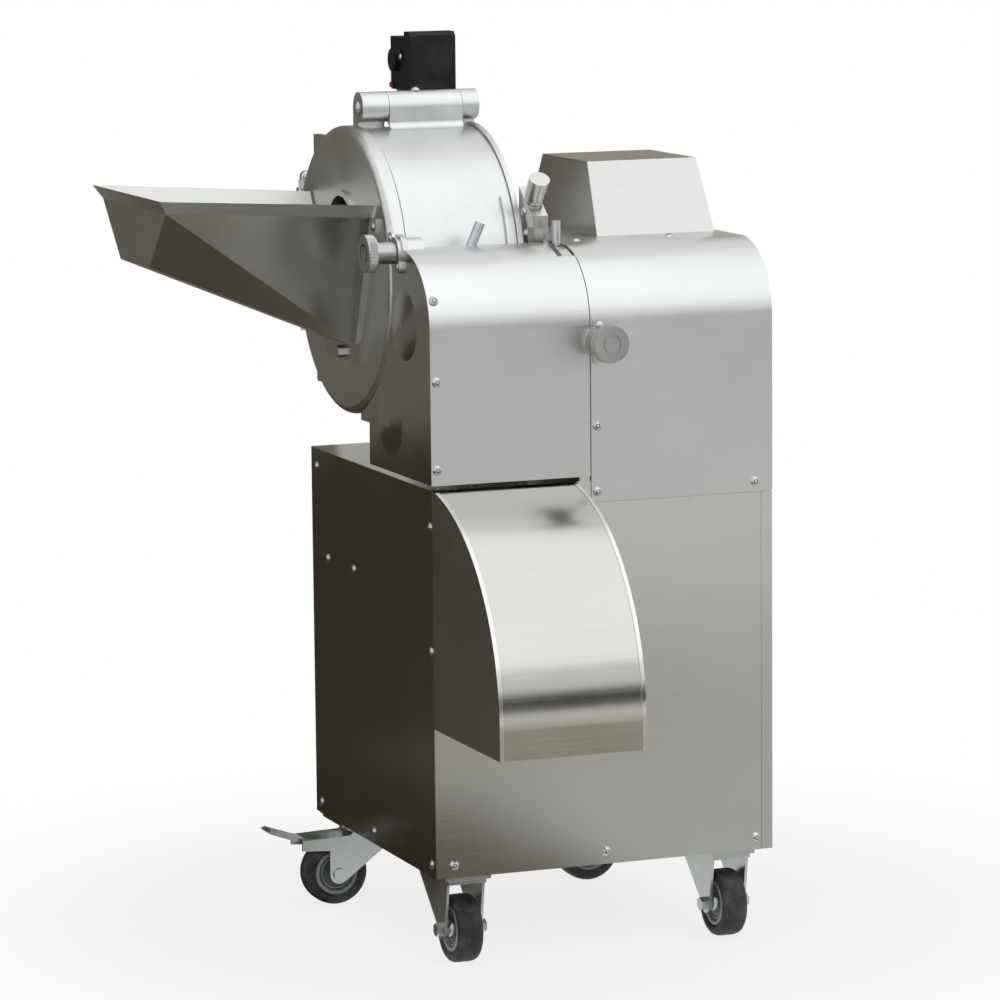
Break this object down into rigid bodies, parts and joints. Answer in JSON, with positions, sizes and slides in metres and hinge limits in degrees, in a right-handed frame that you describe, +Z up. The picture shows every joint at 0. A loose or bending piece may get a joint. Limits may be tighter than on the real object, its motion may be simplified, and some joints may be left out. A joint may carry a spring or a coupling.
{
  "type": "vegetable dicer",
  "caption": "Floor-standing centrifugal vegetable dicer: side hopper on a hinged drum door, impeller drum with slice gate, knife spindles, front chute and belt drive on casters.",
  "frame": {"origin": "on the floor, below the middle of the cabinet's rectangle", "axes": "+Z up, +X from the hopper side to the drive side, +Y from the chute to the back"},
  "size_m": [0.664, 0.656, 0.998],
  "materials": {
    "sheet_steel": "brushed stainless sheet",
    "machined_steel": "machined stainless",
    "cast_aluminium": "satin blasted",
    "zinc_steel": "zinc plated",
    "grey_paint": "satin paint",
    "cast_iron": "turned",
    "black_plastic": "matte moulded",
    "green_plastic": "gloss moulded",
    "red_plastic": "gloss moulded",
    "belt_rubber": "matte",
    "tyre_rubber": "matte"
  },
  "bodies": {
    "base": {"base_frame": "machined_steel", "front_panel": "sheet_steel", "left_panel": "sheet_steel", "right_panel": "sheet_steel", "back_panel": "sheet_steel", "deck_plate": "sheet_steel", "panel_screws": "zinc_steel", "discharge_chute": "sheet_steel", "product_slide": "sheet_steel", "guard_lock_housing": "cast_aluminium", "drum_shell": "cast_aluminium", "door_hinge_bracket": "machined_steel", "door_hinge_pins": "zinc_steel", "gate_hinge_pin": "zinc_steel", "safety_switch": "black_plastic", "adjuster_block": "machined_steel", "guide_pin": "zinc_steel", "knife_holder": "machined_steel", "slicing_knife": "machined_steel", "bulkhead": "machined_steel", "stripper_comb": "machined_steel", "gear_case": "grey_paint", "motor": "grey_paint", "drive_belt": "belt_rubber", "right_cover": "sheet_steel", "belt_hood": "sheet_steel", "front_caster_forks": "zinc_steel", "rear_caster_plates": "zinc_steel"},
    "guard": {"front_cover": "sheet_steel", "end_plate": "sheet_steel", "cover_screws": "zinc_steel", "rinse_pipe": "zinc_steel", "door_lock_housing": "cast_aluminium"},
    "door_lock": {"door_lock_knob": "cast_aluminium"},
    "guard_lock": {"guard_lock_knob": "cast_aluminium"},
    "door": {"drum_door": "cast_aluminium", "hopper": "sheet_steel", "hopper_fasteners": "zinc_steel", "door_hinge_arms": "cast_aluminium"},
    "gate": {"slice_gate": "cast_aluminium", "trip_screw": "zinc_steel"},
    "thickness": {"thickness_knob": "machined_steel"},
    "rotor": {"impeller": "cast_aluminium", "main_shaft": "zinc_steel", "driven_pulley": "cast_iron"},
    "crosscut": {"crosscut_spindle": "zinc_steel", "crosscut_knives": "machined_steel"},
    "circular": {"circular_spindle": "zinc_steel", "circular_knives": "machined_steel"},
    "motor_rotor": {"motor_pulley": "cast_iron"},
    "start": {"start_button": "green_plastic"},
    "stop": {"stop_button": "red_plastic"},
    "front_left": {"front_left_wheel": "tyre_rubber"},
    "front_right": {"front_right_wheel": "tyre_rubber"},
    "rear_left": {"rear_left_fork": "zinc_steel"},
    "rear_right": {"rear_right_fork": "zinc_steel"},
    "rear_left_roll": {"rear_left_wheel": "tyre_rubber"},
    "rear_right_roll": {"rear_right_wheel": "tyre_rubber"},
    "rear_left_foot": {"rear_left_brake": "zinc_steel"},
    "rear_right_foot": {"rear_right_brake": "zinc_steel"}
  },
  "joints": [
    {"name": "guard_slide", "type": "slide", "parent": "base", "child": "guard", "axis": [-1, 0, 0], "range_m": [0, 0.19]},
    {"name": "door_lock_turn", "type": "hinge", "parent": "guard", "child": "door_lock", "pos_m": [-0.2, -0.10064, 0.773], "axis": [1, 0, 0], "range_deg": [0, 90]},
    {"name": "guard_lock_turn", "type": "hinge", "parent": "base", "child": "guard_lock", "pos_m": [-0.006, -0.2, 0.677], "axis": [0, -1, 0], "range_deg": [-180, 180]},
    {"name": "door_swing", "type": "hinge", "parent": "base", "child": "door", "pos_m": [-0.1835, 0.25, 0.738], "axis": [0, 0, -1], "range_deg": [0, 110]},
    {"name": "gate_swing", "type": "hinge", "parent": "base", "child": "gate", "pos_m": [-0.1, 0.08, 0.919], "axis": [-1, 0, 0], "range_deg": [0, 80]},
    {"name": "thickness_turn", "type": "hinge", "parent": "base", "child": "thickness", "pos_m": [-0.031, -0.076, 0.8205], "axis": [0, -0.6, 0.8], "range_deg": [-180, 180]},
    {"name": "impeller_spin", "type": "hinge", "parent": "base", "child": "rotor", "pos_m": [0, 0.08, 0.738], "axis": [1, 0, 0], "continuous": true},
    {"name": "crosscut_spin", "type": "hinge", "parent": "base", "child": "crosscut", "pos_m": [-0.1, -0.1215, 0.69517], "axis": [1, 0, 0], "continuous": true},
    {"name": "circular_spin", "type": "hinge", "parent": "base", "child": "circular", "pos_m": [-0.1, -0.07273, 0.58527], "axis": [1, 0, 0], "continuous": true},
    {"name": "motor_spin", "type": "hinge", "parent": "base", "child": "motor_rotor", "pos_m": [0.14, 0.08, 0.29], "axis": [1, 0, 0], "continuous": true},
    {"name": "start_press", "type": "slide", "parent": "base", "child": "start", "axis": [-1, 0, 0], "range_m": [0, 0.004], "stiffness_N_per_m": 400},
    {"name": "stop_press", "type": "slide", "parent": "base", "child": "stop", "axis": [-1, 0, 0], "range_m": [0, 0.004], "stiffness_N_per_m": 400},
    {"name": "front_left_roll", "type": "hinge", "parent": "base", "child": "front_left", "pos_m": [-0.164, -0.176, 0.0375], "axis": [1, 0, 0], "continuous": true},
    {"name": "front_right_roll", "type": "hinge", "parent": "base", "child": "front_right", "pos_m": [0.15, -0.176, 0.0375], "axis": [1, 0, 0], "continuous": true},
    {"name": "rear_left_swivel", "type": "hinge", "parent": "base", "child": "rear_left", "pos_m": [-0.164, 0.148, 0.08], "axis": [0, 0, 1], "continuous": true},
    {"name": "rear_right_swivel", "type": "hinge", "parent": "base", "child": "rear_right", "pos_m": [0.15, 0.148, 0.08], "axis": [0, 0, 1], "continuous": true},
    {"name": "rear_left_roll", "type": "hinge", "parent": "rear_left", "child": "rear_left_roll", "pos_m": [-0.198, 0.148, 0.0375], "axis": [0, 1, 0], "continuous": true},
    {"name": "rear_right_roll", "type": "hinge", "parent": "rear_right", "child": "rear_right_roll", "pos_m": [0.116, 0.148, 0.0375], "axis": [0, 1, 0], "continuous": true},
    {"name": "rear_left_brake", "type": "hinge", "parent": "rear_left", "child": "rear_left_foot", "pos_m": [-0.18, 0.148, 0.0795], "axis": [0, -1, 0], "range_deg": [0, 6]},
    {"name": "rear_right_brake", "type": "hinge", "parent": "rear_right", "child": "rear_right_foot", "pos_m": [0.134, 0.148, 0.0795], "axis": [0, -1, 0], "range_deg": [0, 6]}
  ],
  "couplings": [
    {"joint": "crosscut_spin", "follows": "impeller_spin", "ratio": -0.91304},
    {"joint": "circular_spin", "follows": "impeller_spin", "ratio": 1.2353},
    {"joint": "motor_spin", "follows": "impeller_spin", "ratio": 1.5556}
  ]
}
